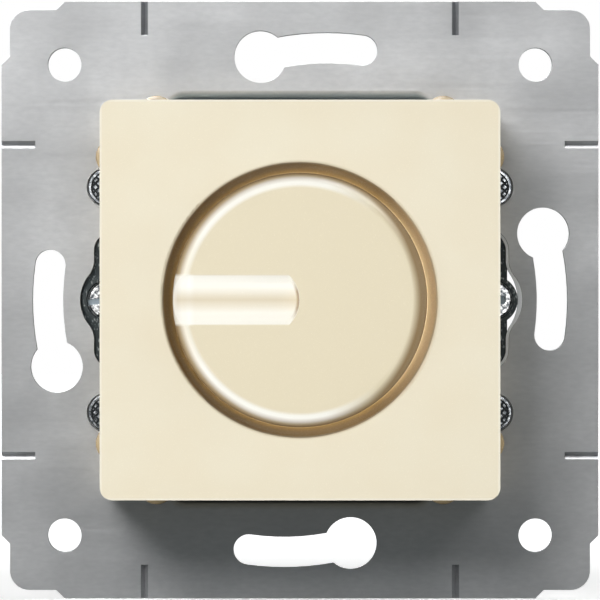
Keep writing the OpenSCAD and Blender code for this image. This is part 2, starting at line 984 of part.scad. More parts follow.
module pot_wafer() {
    color([0.42, 0.26, 0.14])
        on_wall()
            translate([0, 0, wafer_back])
                difference() {
                    union() {
                        cylinder(wafer_t, r = pot_in_r - seat_gap);
                        translate([-tongue_w / 2, -pot_d / 2 - tongue_past, 0])
                            cube([tongue_w, pot_in_r - shaft_r, wafer_t]);
                    }
                    translate([0, 0, -cut])
                        cylinder(wafer_t + 2 * cut, r = shaft_r + 4 * seat_gap);
                }
}

module pot_tags() {
    color(brass)
        on_wall()
            for (k = [-1 : 1])
                translate([k * tag_pitch - tag_w / 2, tag_y - tag_t / 2, board_back - tag_past])
                    cube([tag_w, tag_t, wafer_front - board_back + tag_past]);
}

module wiper_rotor() {
    color([0.2, 0.2, 0.2])
        on_wall()
            slab(rotor_front - rotor_t, rotor_front)
                difference() {
                    circle(rotor_r);
                    flatted(tail_r + run_gap, tail_flat + run_gap);
                }
}

module wiper_leaf() {
    color(brass)
        on_wall() {
            slab(rotor_front, rotor_front + leaf_t)
                difference() {
                    union() {
                        circle(tail_r + leaf_gap + leaf_ring);
                        translate([-track_r, -leaf_w / 2])
                            square([track_r, leaf_w]);
                    }
                    circle(tail_r + leaf_gap);
                }
            translate([-track_r, 0, rotor_front])
                cylinder(wafer_back - run_gap - rotor_front, r = dimple_r);
        }
}

module switch_case() {
    color([0.12, 0.12, 0.13])
        on_wall()
            difference() {
                union() {
                    translate([0, 0, pot_back])
                        cylinder(switch_lid_t, r = pot_in_r - seat_gap);
                    slab(switch_back, pot_back - run_gap)
                        square(switch_w, center = true);
                    slab(switch_back, pot_back + switch_lid_t / 2)
                        intersection() {
                            square(switch_w, center = true);
                            circle(pot_in_r - seat_gap);
                        }
                }
                slab(switch_back + switch_wall, pot_back)
                    square(switch_w - 2 * switch_wall, center = true);
                translate([0, 0, pot_back - cut])
                    cylinder(switch_lid_t + 2 * cut, r = tail_r + move_gap);
            }
}

module switch_slider() {
    stem_r = spring_r - spring_wire_r - move_gap;
    color([0.85, 0.85, 0.8])
        on_wall() {
            slab(slider_front - slider_flange_t, slider_front)
                square(switch_w - 2 * switch_wall - 2 * seat_gap, center = true);
            translate([0, 0, slider_front - slider_flange_t - slider_stem_l])
                cylinder(slider_stem_l + slider_flange_t / 2, r = stem_r);
        }
}

// one unbroken wire wound from the slider's flange to the case's floor
module switch_spring() {
    steps = 14;
    sides = 8;
    top = slider_front - slider_flange_t - spring_wire_r;
    bottom = switch_back + switch_wall + spring_wire_r;
    n = spring_turns * steps;
    points = [for (i = [0 : n], j = [0 : sides - 1])
        let (a = 360 * i / steps, b = 360 * j / sides, r = spring_r + spring_wire_r * cos(b))
        [r * cos(a), r * sin(a), bottom + (top - bottom) * i / n + spring_wire_r * sin(b)]];
    sleeve = [for (i = [0 : n - 1], j = [0 : sides - 1])
        let (k = (j + 1) % sides)
        [i * sides + j, i * sides + k, (i + 1) * sides + k, (i + 1) * sides + j]];
    first = [for (j = [0 : sides - 1]) sides - 1 - j];
    last = [for (j = [0 : sides - 1]) n * sides + j];
    color(steel)
        on_wall()
            polyhedron(points, concat(sleeve, [first, last]), convexity = 10);
}

module switch_tags() {
    color(brass)
        on_wall()
            for (s = [-1, 1])
                mirrored_x()
                    translate([switch_w / 2, s * switch_tag_y - tag_w / 2,
                        board_back - switch_tag_drop]) {
                        cube([switch_tag_x, tag_w, tag_t]);
                        translate([switch_tag_x - tag_t, 0, 0])
                            cube([tag_t, tag_w, switch_tag_drop]);
                    }
}

module circuit_board() {
    fit = 2 * seat_gap;
    color([0.16, 0.36, 0.2])
        on_wall()
            slab(board_back, pot_back)
                difference() {
                    housing_outline(housing_wall + fit);
                    square(switch_w + fit, center = true);
                    for (k = [-1 : 1])
                        translate([k * tag_pitch, tag_y])
                            square([tag_w + fit, tag_t + fit], center = true);
                }
}

// a flat power package lying on the board, its metal tab to the back
module triac() {
    l = triac_body_l + triac_tab_l;
    color([0.15, 0.15, 0.16])
        on_wall()
            translate([triac_pos.x, triac_pos.y, board_back - triac_t])
                difference() {
                    union() {
                        translate([-l / 2, -triac_w / 2, 0])
                            cube([triac_body_l, triac_w, triac_t]);
                        translate([-l / 2, -triac_w / 2, 0])
                            cube([l, triac_w, triac_tab_t]);
                    }
                    translate([l / 2 - triac_tab_l / 2, 0, -cut])
                        cylinder(triac_t, r = triac_screw_r + seat_gap);
                }
}

module triac_hole() {
    translate([triac_pos.x + triac_body_l / 2, triac_pos.y, 0])
        children();
}

module heat_sink() {
    z = board_back - triac_t;
    color([0.8, 0.81, 0.82])
        on_wall()
            difference() {
                translate([triac_pos.x - sink_l / 2, triac_pos.y - sink_w / 2, z - sink_t])
                    cube([sink_l, sink_w, sink_t]);
                triac_hole()
                    slab(z - sink_t - cut, z + cut)
                        circle(triac_screw_r + seat_gap);
            }
}

module triac_screw() {
    z = board_back - triac_t - sink_t;
    color(steel)
        on_wall()
            triac_hole()
                difference() {
                    union() {
                        slab(z - lap, board_back - move_gap)
                            circle(triac_screw_r);
                        slab(z - triac_head_h, z)
                            circle(triac_head_r);
                    }
                    slab(z - triac_head_h - cut, z - triac_head_h + slot_depth)
                        square([slot_w, 2 * triac_head_r + cut], center = true);
                }
}

module triac_nut() {
    z = board_back - triac_t + triac_tab_t;
    color(steel)
        on_wall()
            triac_hole()
                slab(z, z + nut_h)
                    difference() {
                        circle(d = nut_d, $fn = 6);
                        circle(triac_screw_r + push_gap);
                    }
}

module choke_core() {
    color([0.3, 0.3, 0.32])
        on_wall()
            translate([choke_pos.x, choke_pos.y, board_back - winding_t - choke_h])
                difference() {
                    cylinder(choke_h, r = choke_core_r);
                    translate([0, 0, -cut])
                        cylinder(choke_h + 2 * cut, r = choke_bore_r);
                }
}

module choke_winding() {
    h = choke_h + 2 * winding_t;
    color([0.72, 0.4, 0.2])
        on_wall()
            translate([choke_pos.x, choke_pos.y, board_back - h])
                rotate([0, 0, 20])
                    rotate_extrude(angle = 320)
                        difference() {
                            translate([choke_bore_r - winding_t, 0])
                                square([choke_core_r - choke_bore_r + 2 * winding_t, h]);
                            translate([choke_bore_r - push_gap, winding_t - push_gap])
                                square([choke_core_r - choke_bore_r + 2 * push_gap,
                                    choke_h + 2 * push_gap]);
                        }
}

module film_capacitor() {
    color([0.75, 0.62, 0.15])
        on_wall()
            translate([cap_x, 0, 0])
                slab(board_back - cap_size.z, board_back)
                    rounded_square(cap_size.x, cap_size.y, cap_edge_r);
}

// a body along y with two legs bent down to the board
module axial_part(r, l) {
    rise = r + lead_r;
    span = l / 2 + lead_past;
    translate([0, 0, board_back - rise]) {
        rotate([90, 0, 0]) {
            cylinder(l, r = r, center = true);
            cylinder(2 * span, r = lead_r, center = true);
        }
        for (s = [-1, 1])
            translate([0, s * span, 0]) {
                sphere(lead_r);
                cylinder(rise, r = lead_r);
            }
    }
}

module resistors() {
    color([0.75, 0.65, 0.5])
        on_wall()
            for (k = [0, 1])
                translate([resistor_pos.x + k * resistor_pitch, resistor_pos.y, 0])
                    axial_part(resistor_r, resistor_l);
}

module trigger_diode() {
    color([0.2, 0.35, 0.6])
        on_wall()
            translate([diode_pos.x, diode_pos.y, 0])
                rotate([0, 0, 90])
                    axial_part(diode_r, diode_l);
}

module along_fuse() {
    translate([0, fuse_y, fuse_z])
        rotate([0, 90, 0])
            children();
}

module fuse_tube() {
    color([0.85, 0.9, 0.92])
        on_wall()
            along_fuse()
                cylinder(fuse_len - 2 * fuse_end_t, r = fuse_r - fuse_cap_t, center = true);
}

module fuse_caps() {
    color(steel)
        on_wall()
            along_fuse()
                for (m = [0, 1])
                    mirror([0, 0, m])
                        difference() {
                            translate([0, 0, fuse_len / 2 - fuse_cap_l])
                                cylinder(fuse_cap_l, r = fuse_r);
                            translate([0, 0, -cut])
                                cylinder(fuse_len / 2 - fuse_end_t + cut, r = fuse_r - fuse_cap_t);
                        }
}

// two open clips that stand on the board round the fuse's caps
module fuse_clips() {
    out = fuse_r + clip_t;
    color(brass)
        on_wall()
            for (s = [-1, 1])
                translate([s * (fuse_len / 2 - fuse_cap_l / 2), 0, 0])
                    along_fuse()
                        slab(-clip_w / 2, clip_w / 2)
                            difference() {
                                union() {
                                    circle(out);
                                    translate([fuse_z - board_back, -out / 2])
                                        square([board_back - fuse_z, out]);
                                }
                                circle(fuse_r);
                                translate([out / 2, -out])
                                    square(2 * out);
                            }
}

module at_terminals() {
    for (k = [-1 : 1])
        translate([k * terminal_pitch, 0, 0])
            children();
}

module terminal_bodies() {
    w = terminal_w / 2;
    color([0.16, 0.17, 0.18])
        on_wall()
            at_terminals()
                difference() {
                    union() {
                        slab(housing_back, board_back)
                            translate([-w, terminal_step])
                                square([2 * w, terminal_top - terminal_step]);
                        slab(housing_back, housing_back + terminal_drop)
                            translate([-w, -housing_h / 2])
                                square([2 * w, terminal_top + housing_h / 2]);
                    }
                    translate([0, terminal_axis_y, wire_z])
                        cube([cage_w, cage_w, clamp_h + 2 * seat_gap], center = true);
                    translate([0, terminal_axis_y, housing_back - cut])
                        cylinder(wire_z - housing_back + cut, r = terminal_screw_r + seat_gap);
                    translate([0, terminal_axis_y, wire_z])
                        rotate([90, 0, 0])
                            cylinder(housing_h / 2, r = wire_r);
                }
}

module terminal_clamps() {
    color(brass)
        on_wall()
            at_terminals()
                difference() {
                    translate([0, terminal_axis_y, wire_z])
                        cube([clamp_w, clamp_w, clamp_h], center = true);
                    translate([0, terminal_axis_y, wire_z])
                        rotate([90, 0, 0])
                            cylinder(2 * clamp_w, r = wire_r + clamp_gap, center = true);
                    translate([0, terminal_axis_y, housing_back])
                        cylinder(wire_z - housing_back, r = terminal_thread_r + push_gap);
                }
}

module terminal_screws() {
    z = housing_back + terminal_sink;
    seat = wire_z - clamp_h / 2;
    color(steel)
        on_wall()
            at_terminals()
                translate([0, terminal_axis_y, 0])
                    difference() {
                        union() {
                            slab(z, seat)
                                circle(terminal_screw_r);
                            slab(seat - lap, wire_z - wire_r)
                                circle(terminal_thread_r);
                        }
                        slab(z - cut, z + slot_depth)
                            square([slot_w, 2 * terminal_screw_r + cut], center = true);
                    }
}

module claw_pins() {
    l = claw_w + 2 * (ear_gap + ear_t);
    color(steel)
        on_wall()
            mirrored_x()
                translate([pivot_x, 0, pivot_z])
                    rotate([90, 0, 0])
                        cylinder(l, r = pin_r, center = true);
}

// the right-hand claw: an eye round the screw, a hinge knuckle and a toothed leg
module claw() {
    tooth = claw_w / claw_teeth;
    spread = claw_bite + cut;
    difference() {
        union() {
            translate([pivot_x, 0, pivot_z])
                rotate([90, 0, 0])
                    cylinder(claw_w, r = knuckle_r, center = true);
            slab(pivot_z - claw_t / 2, pivot_z + claw_t / 2) {
                translate([pivot_x, -claw_eye_r])
                    square([claw_slot_in + claw_slot_len, 2 * claw_eye_r]);
                translate([pivot_x + claw_slot_in + claw_slot_len, 0])
                    circle(claw_eye_r);
            }
            strip([pivot_x, pivot_z], [pivot_x, claw_tail_z], claw_t, claw_w);
            strip([pivot_x, claw_tail_z + claw_t / 3], [claw_tip_x, claw_tail_z - claw_tip_drop],
                claw_t, claw_w);
        }
        translate([pivot_x, 0, pivot_z])
            rotate([90, 0, 0])
                cylinder(claw_w + 2 * cut, r = pin_r + run_gap, center = true);
        slab(pivot_z - knuckle_r - cut, pivot_z + knuckle_r + cut)
            for (x = [0, claw_slot_len])
                translate([pivot_x + claw_slot_in + x, 0])
                    circle(claw_slot_r);
        slab(pivot_z - knuckle_r - cut, pivot_z + knuckle_r + cut)
            translate([pivot_x + claw_slot_in, -claw_slot_r])
                square([claw_slot_len, 2 * claw_slot_r]);
        slab(housing_back - cut, claw_tail_z + claw_t)
            for (k = [0 : claw_teeth])
                translate([claw_tip_x - claw_bite, (k - claw_teeth / 2) * tooth])
                    polygon([[0, 0], [spread, tooth * spread / (2 * claw_bite)],
                        [spread, -tooth * spread / (2 * claw_bite)]]);
    }
}

module right_claw() {
    color(steel)
        on_wall()
            claw();
}

module left_claw() {
    color(steel)
        on_wall()
            mirror([1, 0, 0])
                claw();
}

// cheese-head screw with a slot and a cross in its head
module claw_screw() {
    head_r = claw_head_d / 2;
    top = screw_seat + screw_head_h;
    difference() {
        union() {
            slab(screw_end, screw_seat + lap)
                circle(d = claw_thread_d);
            slab(screw_seat, top - screw_edge)
                circle(head_r);
            translate([0, 0, top - screw_edge])
                cylinder(screw_edge, head_r, head_r - screw_edge);
        }
        slab(top - slot_depth, top + cut) {
            square([slot_w, claw_head_d + cut], center = true);
            rounded_square(cross_len, cross_w, cross_w / 2 - arc_lap);
        }
    }
}

module right_claw_screw() {
    color(steel)
        on_wall()
            translate([claw_x, 0, 0])
                claw_screw();
}

module left_claw_screw() {
    color(steel)
        on_wall()
            translate([-claw_x, 0, 0])
                rotate([0, 0, left_screw_angle])
                    claw_screw();
}

mounting_frame();
deck_rivets();
front_deck();
rear_housing();
cover_plate();
knob();
control_shaft();
hub_ring();
pot_case();
pot_wafer();
pot_tags();
wiper_rotor();
wiper_leaf();
switch_case();
switch_slider();
switch_spring();
switch_tags();
circuit_board();
triac();
heat_sink();
triac_screw();
triac_nut();
choke_core();
choke_winding();
film_capacitor();
resistors();
trigger_diode();
fuse_tube();
fuse_caps();
fuse_clips();
terminal_bodies();
terminal_clamps();
terminal_screws();
claw_pins();
left_claw();
right_claw();
left_claw_screw();
right_claw_screw();
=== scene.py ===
import math

import bpy
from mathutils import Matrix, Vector


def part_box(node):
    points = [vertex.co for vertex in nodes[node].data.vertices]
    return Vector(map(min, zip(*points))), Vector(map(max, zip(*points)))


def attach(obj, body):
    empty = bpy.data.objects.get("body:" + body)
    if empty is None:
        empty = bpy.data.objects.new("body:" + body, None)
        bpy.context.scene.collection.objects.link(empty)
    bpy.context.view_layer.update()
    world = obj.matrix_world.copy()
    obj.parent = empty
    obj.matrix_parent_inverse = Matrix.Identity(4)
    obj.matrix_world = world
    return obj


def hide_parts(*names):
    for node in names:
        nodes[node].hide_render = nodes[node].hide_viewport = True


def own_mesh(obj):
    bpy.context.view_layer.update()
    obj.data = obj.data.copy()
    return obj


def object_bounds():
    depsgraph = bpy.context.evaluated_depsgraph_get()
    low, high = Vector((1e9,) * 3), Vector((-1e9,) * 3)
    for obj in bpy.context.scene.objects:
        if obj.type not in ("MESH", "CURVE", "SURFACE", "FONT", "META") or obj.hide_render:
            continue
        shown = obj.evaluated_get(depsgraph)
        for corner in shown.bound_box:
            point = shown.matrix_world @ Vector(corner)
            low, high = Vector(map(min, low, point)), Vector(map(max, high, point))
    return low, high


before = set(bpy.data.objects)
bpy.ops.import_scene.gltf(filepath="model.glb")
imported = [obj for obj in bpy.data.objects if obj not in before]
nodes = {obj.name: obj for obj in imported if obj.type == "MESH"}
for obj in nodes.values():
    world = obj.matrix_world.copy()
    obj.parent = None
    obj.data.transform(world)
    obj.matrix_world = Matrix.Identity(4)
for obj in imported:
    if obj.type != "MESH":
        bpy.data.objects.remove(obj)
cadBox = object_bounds()
mm = 0.001
white = "#FFFFFF"
reach = (0.3, 0.7)  # a noise texture keeps to about this span
print("frame loaded:", len(nodes), "nodes")


# sRGB hex to linear, with full alpha
def linear(code):
    channels = [int(code[i:i + 2], 16) / 255 for i in (1, 3, 5)]
    return [c / 12.92 if c <= 0.04045 else ((c + 0.055) / 1.055) ** 2.4 for c in channels] + [1]


# one node with its options, its sockets fed by name or in order; gives back one output, or all of them
def add(tree, kind, feeds=(), out=0, **options):
    made = tree.nodes.new("ShaderNode" + kind)
    for option, value in options.items():
        setattr(made, option, value)
    for socket, value in feeds.items() if isinstance(feeds, dict) else enumerate(feeds):
        if isinstance(value, bpy.types.NodeSocket):
            tree.links.new(value, made.inputs[socket])
        else:
            made.inputs[socket].default_value = value
    return made.outputs if out is None else made.outputs[out]


# starts a material: the place of a point in mm, and its patterns, each as size in mm, detail and stretch
def begin(name, *patterns):
    material = bpy.data.materials.new(name)
    material.use_nodes = True
    tree = material.node_tree
    tree.nodes.clear()
    spot = add(tree, "TexCoord", out="Object")
    place = add(tree, "VectorMath", {0: spot, "Scale": 1 / mm}, operation="SCALE")
    grains = []
    for size, detail, *stretch in patterns:
        scale = [1 / (size * times) for times in stretch or (1, 1, 1)]
        spread = add(tree, "Mapping", {"Vector": place, "Scale": scale})
        grains.append(add(tree, "TexNoise", {"Vector": spread, "Scale": 1, "Detail": detail}))
    return material, tree, place, grains


# measures of a point in mm: right, back and up from the knob's axis, side and high the same without sign,
# wide the larger of those two, out the radius round the axis, sunk the depth behind a piece's front
def measure(tree, place, piece):
    right, back, up = add(tree, "SeparateXYZ", [place], None)
    side, high = [add(tree, "Math", [way], operation="ABSOLUTE") for way in (right, up)]
    flat = add(tree, "VectorMath", [place, (1, 0, 1)], operation="MULTIPLY")
    return {"right": right, "back": back, "up": up, "side": side, "high": high,
            "wide": add(tree, "Math", [side, high], operation="MAXIMUM"),
            "out": add(tree, "VectorMath", [flat], "Value", operation="LENGTH"),
            "sunk": add(tree, "Math", [back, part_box(piece)[0].y / mm], operation="SUBTRACT")}


# how much of a tone shows: each limit takes it from none to full between two measures
# only a first limit may have a fourth number, the least part that is left of it
def shareOf(tree, measures, share, limits):
    for name, none, full, *least in limits:
        rest = share * least[0] if least else 0
        share = add(tree, "MapRange", [measures[name], none, full, rest, share])
    return share


# lays tones over a ground, each where all its limits are met
def layTones(tree, ground, measures, tones):
    for colour, share, limits in tones.values():
        shown = shareOf(tree, measures, share, limits)
        ground = add(tree, "Mix", {0: shown, 6: ground, 7: linear(colour)}, 2, data_type="RGBA")
    return ground


# ground of two colours that drift into each other with a pattern
def drift(tree, pattern, dark, light, span=reach):
    shown = add(tree, "MapRange", [pattern, *span, 0, 1])
    return add(tree, "Mix", {0: shown, 6: linear(dark), 7: linear(light)}, 2, data_type="RGBA")


# cold rolled sheet steel with a matt zinc coat: soft grey clouds, faint rolling lines, painted shade on the
# stamped walls, the top pressed marks and the top collar bend
def zincSheet():
    sheet = {"dark": "#DADADB", "light": "#E6E6E7", "cloud": (11, 4),
             "line": (0.35, 3, 90, 1, 1),  # coarser than real rolling lines, so that they show
             "grain": (0.5, 3, 2.5, 1, 1), "rough": (0.47, 0.53), "lineRough": (-0.02, 0.02),
             "grainDepth": 0.0012, "lineDepth": 0.0016, "cutMetal": 0.35}
    sheet["tones"] = {  # colour, share, limits
        "rub": ("#C3C4C5", 0.3, [("grain", *reach)]),
        "shearedStep": ("#E4E6E8", 1, [("sunk", 0.2, 0.25), ("sunk", 0.55, 0.5), ("high", 9.5, 9)]),
        # painted shade on walls that face sideways: dark blue-grey inside holes and windows, lighter grey on
        # the frame's outer edge
        "holeWallShade": ("#28323E", 0.85, [("facing", 0.9, 0.35), ("wide", 34, 33.5)]),
        "outerWallShade": ("#5A626C", 0.85, [("facing", 0.9, 0.35), ("wide", 33.5, 34)]),
        # painted shade in the pressed marks, at the top edge only
        "pressedMarkShade": ("#28323E", 0.4, [("sunk", 0.03, 0.1), ("sunk", 0.8, 0.7),
                                         ("up", 28, 29), ("side", 23, 22)]),
        # painted cool shade on the collar's bend just above the cover, at the top only
        "collarBendShade": ("#B4C0CC", 0.95, [("sunk", 0.005, 0.1), ("sunk", 0.8, 0.7),
                                         ("up", 23, 23.4), ("up", 25.2, 24.8)]),
    }
    patterns = sheet["cloud"], sheet["line"], sheet["grain"]
    material, tree, place, (cloud, lines, grain) = begin("zincCoatedSheetSteel", *patterns)
    facing = add(tree, "SeparateXYZ", [add(tree, "NewGeometry", out="Normal")], "Y")
    measures = measure(tree, place, "mounting_frame")
    measures["facing"] = add(tree, "Math", [facing], operation="ABSOLUTE")
    measures["grain"] = grain
    tone = drift(tree, cloud, sheet["dark"], sheet["light"])
    tone = layTones(tree, tone, measures, sheet["tones"])
    gloss = add(tree, "MapRange", [cloud, *reach, *sheet["rough"]])
    streaks = add(tree, "MapRange", [lines, *reach, *sheet["lineRough"]])
    gloss = add(tree, "Math", [gloss, streaks], operation="ADD")
    relief = add(tree, "Bump", {"Height": grain, "Distance": sheet["grainDepth"] * mm})
    relief = add(tree, "Bump", {"Height": lines, "Distance": sheet["lineDepth"] * mm, "Normal": relief})
    cut = shareOf(tree, measures, *sheet["tones"]["shearedStep"][1:])
    metal = add(tree, "MapRange", [cut, 0, 1, 1, sheet["cutMetal"]])
    skin = {"Base Color": tone, "Metallic": metal, "Roughness": gloss, "Normal": relief}
    add(tree, "OutputMaterial", [add(tree, "BsdfPrincipled", skin)], None)
    return material


# ABS moulded in a polished tool: warm even ivory, half gloss, painted highlights on the knob's rim, groove
# and the cover's edge, painted brown shade in the gap, on the rim's right side, in the groove and on the snap
# bumps
def ivoryAbs():
    ivory = {"light": "#EDE4CC", "dark": "#EBE0C6", "cloud": (9, 3), "ripple": (1.6, 1), "pore": (0.12, 2),
             "rough": (0.2, 0.28), "rippleDepth": 0.004, "poreDepth": 0.001, "ior": 1.53,
             # gap tones: a painted brown shade, and a paler painted light on the right-hand wall, between two
             # places to the right
             "gapShade": "#C8AA76", "gapLitWall": "#FFE8BC", "gapLighterRight": (9, 14.5),
             "gap": [("out", 14.6, 14.7), ("out", 16.35, 16.25), ("back", -9.95, -8.6)],
             "grooveEnd": 4,  # left of the axis, centre of its round end
             "wider": (8, 13, 0, 0.6)}  # how much further in the rim's painted shade reaches between two places to the right
    # a painted highlight tone and a painted brown shade tone
    paintedHighlight, paintedShading = "#FCF9F0", "#8F7044"
    ivory["tones"] = {  # colour, share, limits
        "knobBatch": ("#E3D7B9", 1, [("sunk", 1.6, 1.3)]),
        # painted highlight on the knob's rounded rim, weaker near the groove and left off the right side
        "rimHighlight": (paintedHighlight, 0.85, [("right", -13.5, -11, 0.5), ("right", 9, 3),
                                        ("out", 13, 13.4), ("out", 14.45, 14.1)]),
        # painted brown shade on the knob's outer rim, reaching further in on the right side
        "rimShade": (paintedShading, 0.85, [("shadeReach", 13.7, 14.6), ("out", 14.9, 14.85)]),
        # painted highlights at the groove's mouth and over the groove's walls
        "grooveMouthHighlight": (paintedHighlight, 0.75, [("right", -12.2, -12.8), ("high", 3.1, 2.7),
                                         ("out", 15, 14.9), ("sunk", 2.4, 1.9)]),
        "grooveWallHighlight": (paintedHighlight, 0.75, [("sunk", 0.01, 0.15), ("out", 13.4, 13.1)]),
        # painted shade on the groove's round end wall, darkest in the middle
        "grooveEnd": (paintedShading, 0.8, [("fromEnd", 3.5, 3.75), ("sunk", 0.15, 0.25),
                                   ("out", 6, 5), ("high", 2.3, 0.9)]),
        # painted shade along the middle of the groove
        "grooveBottomShade": ("#C4AE80", 0.55, [("high", 1.5, 0), ("sunk", 0.75, 0.9), ("out", 14.8, 14.2)]),
        # painted shade on the snap bumps outside the cover's outline
        "snapBumpShade": ("#C8AC7C", 0.9, [("wide", 23.35, 23.55)]),
        # painted highlight along the cover's front edge
        "coverEdgeHighlight": (paintedHighlight, 0.35, [("wide", 23, 23.15), ("back", -9.3, -9.6)]),
    }
    patterns = ivory["cloud"], ivory["ripple"], ivory["pore"]
    material, tree, place, (cloud, ripple, pore) = begin("ivoryMouldedAbs", *patterns)
    measures = measure(tree, place, "knob")
    fromEnd = add(tree, "VectorMath", [place, (ivory["grooveEnd"], 0, 0)], operation="ADD")
    fromEnd = add(tree, "VectorMath", [fromEnd, (1, 0, 1)], operation="MULTIPLY")
    measures["fromEnd"] = add(tree, "VectorMath", [fromEnd], "Value", operation="LENGTH")
    # the rim's painted shade starts further in on the right side
    wider = add(tree, "MapRange", [measures["right"], *ivory["wider"]])
    measures["shadeReach"] = add(tree, "Math", [measures["out"], wider], operation="ADD")
    tone = drift(tree, cloud, ivory["dark"], ivory["light"])
    # painted shade in the gap between knob and cover, deepening inwards, brown, painted lighter towards the
    # right where that wall would be lit
    layer = drift(tree, measures["right"], ivory["gapShade"], ivory["gapLitWall"], ivory["gapLighterRight"])
    inGap = shareOf(tree, measures, 1, ivory["gap"])
    tone = add(tree, "Mix", {0: inGap, 6: tone, 7: layer}, 2, data_type="RGBA")
    tone = layTones(tree, tone, measures, ivory["tones"])
    gloss = add(tree, "MapRange", [pore, *reach, *ivory["rough"]])
    relief = add(tree, "Bump", {"Height": ripple, "Distance": ivory["rippleDepth"] * mm})
    relief = add(tree, "Bump", {"Height": pore, "Distance": ivory["poreDepth"] * mm, "Normal": relief})
    skin = {"Base Color": tone, "Roughness": gloss, "Normal": relief, "IOR": ivory["ior"]}
    add(tree, "OutputMaterial", [add(tree, "BsdfPrincipled", skin)], None)
    return material


# glass filled plastics as moulded: dark or pale, half matt, a fine pitted skin with paler fibre ends
def filledPlastic(name, dark, light, rough, speck=0.3):
    fill = {"pit": (0.25, 3), "flow": (5, 4, 1, 1, 3),
            "fibre": (0.3, 2, 1, 1, 2),  # coarser than real fibres, so that they show
            "tones": {"fibreEnds": ("#AEB4B4", speck, [("fibre", 0.58, 0.7)])},
            "spread": 0.08, "pitDepth": 0.01, "ior": 1.54}
    material, tree, _, (pit, flow, fibre) = begin(name, fill["pit"], fill["flow"], fill["fibre"])
    tone = drift(tree, flow, dark, light)
    tone = layTones(tree, tone, {"fibre": fibre}, fill["tones"])
    gloss = add(tree, "MapRange", [pit, *reach, rough - fill["spread"], rough + fill["spread"]])
    relief = add(tree, "Bump", {"Height": pit, "Distance": fill["pitDepth"] * mm})
    skin = {"Base Color": tone, "Roughness": gloss, "Normal": relief, "IOR": fill["ior"]}
    add(tree, "OutputMaterial", [add(tree, "BsdfPrincipled", skin)], None)
    return material


# turned, drawn or rolled metal: the hue drifts a little, fine tool lines catch the light
def workedMetal(name, dark, light, rough, line=0.12, stretch=(1, 1, 1)):
    work = {"patch": (2.4, 3), "detail": 2, "smooth": 0.07, "coarse": 0.1, "lineDepth": 0.003}
    material, tree, _, (patch, lines) = begin(name, work["patch"], (line, work["detail"], *stretch))
    tone = drift(tree, patch, dark, light)
    gloss = add(tree, "MapRange", [lines, *reach, rough - work["smooth"], rough + work["coarse"]])
    relief = add(tree, "Bump", {"Height": lines, "Distance": work["lineDepth"] * mm})
    skin = {"Base Color": tone, "Metallic": 1, "Roughness": gloss, "Normal": relief}
    add(tree, "OutputMaterial", [add(tree, "BsdfPrincipled", skin)], None)
    return material


# pressed laminate with a lacquer over its weave: a small check of threads under an even gloss
def laminate(name, dark, light, weave):
    board = {"halfBand": 0.16,  # half a band of the wave texture at scale 1
             "waver": 0.6, "rough": (0.3, 0.42), "clothDepth": 0.006, "ior": 1.52}
    material, tree, place, _ = begin(name)
    threads = {"Vector": place, "Scale": board["halfBand"] / weave, "Distortion": board["waver"]}
    warp, weft = [add(tree, "TexWave", threads, "Fac", bands_direction=way) for way in "XZ"]
    cloth = add(tree, "Math", [warp, weft], operation="MULTIPLY")
    tone = drift(tree, cloth, dark, light, (0, 1))
    gloss = add(tree, "MapRange", [cloth, 0, 1, *board["rough"]])
    relief = add(tree, "Bump", {"Height": cloth, "Distance": board["clothDepth"] * mm})
    skin = {"Base Color": tone, "Roughness": gloss, "Normal": relief, "IOR": board["ior"]}
    add(tree, "OutputMaterial", [add(tree, "BsdfPrincipled", skin)], None)
    return material


# dipped lacquer on small parts: glossy, a little uneven where it ran
def lacquer(name, dark, light, rough):
    coat = {"dip": (1.1, 3), "smooth": 0.06, "coarse": 0.08, "dipDepth": 0.02, "ior": 1.5}
    material, tree, _, (dip,) = begin(name, coat["dip"])
    tone = drift(tree, dip, dark, light)
    gloss = add(tree, "MapRange", [dip, *reach, rough - coat["smooth"], rough + coat["coarse"]])
    relief = add(tree, "Bump", {"Height": dip, "Distance": coat["dipDepth"] * mm})
    skin = {"Base Color": tone, "Roughness": gloss, "Normal": relief, "IOR": coat["ior"]}
    add(tree, "OutputMaterial", [add(tree, "BsdfPrincipled", skin)], None)
    return material


# drawn glass: clear, with a slight smear
def drawnGlass(name, tint):
    glass = {"smear": (1.8, 2), "rough": (0.02, 0.12), "clear": 0.85, "ior": 1.52}
    material, tree, _, (smear,) = begin(name, glass["smear"])
    tone = drift(tree, smear, tint, white)
    gloss = add(tree, "MapRange", [smear, *reach, *glass["rough"]])
    skin = {"Base Color": tone, "Roughness": gloss, "Transmission Weight": glass["clear"],
            "IOR": glass["ior"]}
    add(tree, "OutputMaterial", [add(tree, "BsdfPrincipled", skin)], None)
    return material


